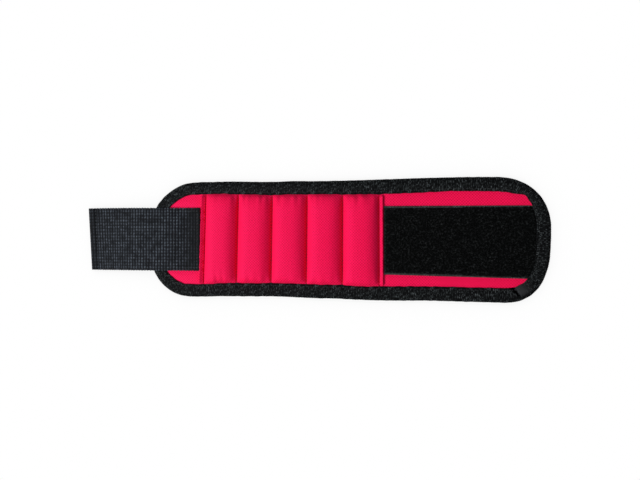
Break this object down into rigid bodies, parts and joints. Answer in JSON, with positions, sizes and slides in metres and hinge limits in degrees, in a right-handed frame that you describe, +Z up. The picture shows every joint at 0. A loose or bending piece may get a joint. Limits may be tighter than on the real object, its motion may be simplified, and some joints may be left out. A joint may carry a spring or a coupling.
{
  "type": "magnetic wristband",
  "caption": "Padded cloth band with sewn pockets of disc magnets, tape-bound edge, and a hook strap that closes it round a wrist onto a loop patch.",
  "frame": {"origin": "middle of the footprint, on the table that the flat band lies on", "axes": "+X along the band from the strap to the loop patch, +Y across it, +Z up out of its outer face"},
  "size_m": [0.362, 0.09, 0.0099],
  "materials": {
    "red_cloth": "plain-weave coated polyester, crimson",
    "spacer_mesh": "knitted spacer mesh, black",
    "binding_tape": "ribbed woven binding tape, black",
    "strap_webbing": "woven nylon strap, black",
    "loop_pile": "brushed loop pile, black",
    "hook_tape": "nylon hook tape, black",
    "pad_foam": "soft open-cell foam, off-white",
    "nickel_plate": "nickel plate on sintered magnet"
  },
  "bodies": {
    "strap": {"free_strap": "strap_webbing", "hook_tape": "hook_tape"},
    "left_end": {"left_lining": "spacer_mesh", "left_face_panel": "red_cloth", "left_end_binding": "binding_tape", "sewn_strap": "strap_webbing"},
    "pocket_1": {"pocket_lining_1": "spacer_mesh", "pocket_backing_1": "red_cloth", "upper_binding_1": "binding_tape", "lower_binding_1": "binding_tape", "pocket_cover_1": "red_cloth", "foam_pad_1": "pad_foam", "magnet_1_1": "nickel_plate", "magnet_1_2": "nickel_plate", "magnet_1_3": "nickel_plate"},
    "pocket_2": {"pocket_lining_2": "spacer_mesh", "pocket_backing_2": "red_cloth", "upper_binding_2": "binding_tape", "lower_binding_2": "binding_tape", "pocket_cover_2": "red_cloth", "foam_pad_2": "pad_foam", "magnet_2_1": "nickel_plate", "magnet_2_2": "nickel_plate", "magnet_2_3": "nickel_plate"},
    "pocket_3": {"pocket_lining_3": "spacer_mesh", "pocket_backing_3": "red_cloth", "upper_binding_3": "binding_tape", "lower_binding_3": "binding_tape", "pocket_cover_3": "red_cloth", "foam_pad_3": "pad_foam", "magnet_3_1": "nickel_plate", "magnet_3_2": "nickel_plate", "magnet_3_3": "nickel_plate"},
    "pocket_4": {"pocket_lining_4": "spacer_mesh", "pocket_backing_4": "red_cloth", "upper_binding_4": "binding_tape", "lower_binding_4": "binding_tape", "pocket_cover_4": "red_cloth", "foam_pad_4": "pad_foam", "magnet_4_1": "nickel_plate", "magnet_4_2": "nickel_plate", "magnet_4_3": "nickel_plate"},
    "pocket_5": {"pocket_lining_5": "spacer_mesh", "pocket_backing_5": "red_cloth", "upper_binding_5": "binding_tape", "lower_binding_5": "binding_tape", "pocket_cover_5": "red_cloth", "foam_pad_5": "pad_foam", "magnet_5_1": "nickel_plate", "magnet_5_2": "nickel_plate", "magnet_5_3": "nickel_plate"},
    "right_inner": {"inner_lining": "spacer_mesh", "inner_face_panel": "red_cloth", "inner_upper_binding": "binding_tape", "inner_lower_binding": "binding_tape", "inner_loop_patch": "loop_pile"},
    "right_outer": {"outer_lining": "spacer_mesh", "outer_face_panel": "red_cloth", "right_end_binding": "binding_tape", "outer_loop_patch": "loop_pile"}
  },
  "joints": [
    {"name": "seam_3", "type": "hinge", "parent": "pocket_3", "child": "pocket_2", "pos_m": [-0.024, 0, 0.00385], "axis": [0, -1, 0], "range_deg": [-10, 30]},
    {"name": "seam_2", "type": "hinge", "parent": "pocket_2", "child": "pocket_1", "pos_m": [-0.052, 0, 0.00385], "axis": [0, -1, 0], "range_deg": [-10, 30]},
    {"name": "seam_1", "type": "hinge", "parent": "pocket_1", "child": "left_end", "pos_m": [-0.08, 0, 0.00385], "axis": [0, -1, 0], "range_deg": [-10, 40]},
    {"name": "strap_peel", "type": "hinge", "parent": "left_end", "child": "strap", "pos_m": [-0.1254, 0, 0.00635], "axis": [0, -1, 0], "range_deg": [-150, 62]},
    {"name": "seam_4", "type": "hinge", "parent": "pocket_3", "child": "pocket_4", "pos_m": [0.004, 0, 0.00385], "axis": [0, 1, 0], "range_deg": [-10, 30]},
    {"name": "seam_5", "type": "hinge", "parent": "pocket_4", "child": "pocket_5", "pos_m": [0.032, 0, 0.00385], "axis": [0, 1, 0], "range_deg": [-10, 30]},
    {"name": "seam_6", "type": "hinge", "parent": "pocket_5", "child": "right_inner", "pos_m": [0.06, 0, 0.00385], "axis": [0, 1, 0], "range_deg": [-10, 57]},
    {"name": "panel_fold", "type": "hinge", "parent": "right_inner", "child": "right_outer", "pos_m": [0.121, 0, 0.001], "axis": [0, 1, 0], "range_deg": [-10, 77]}
  ]
}
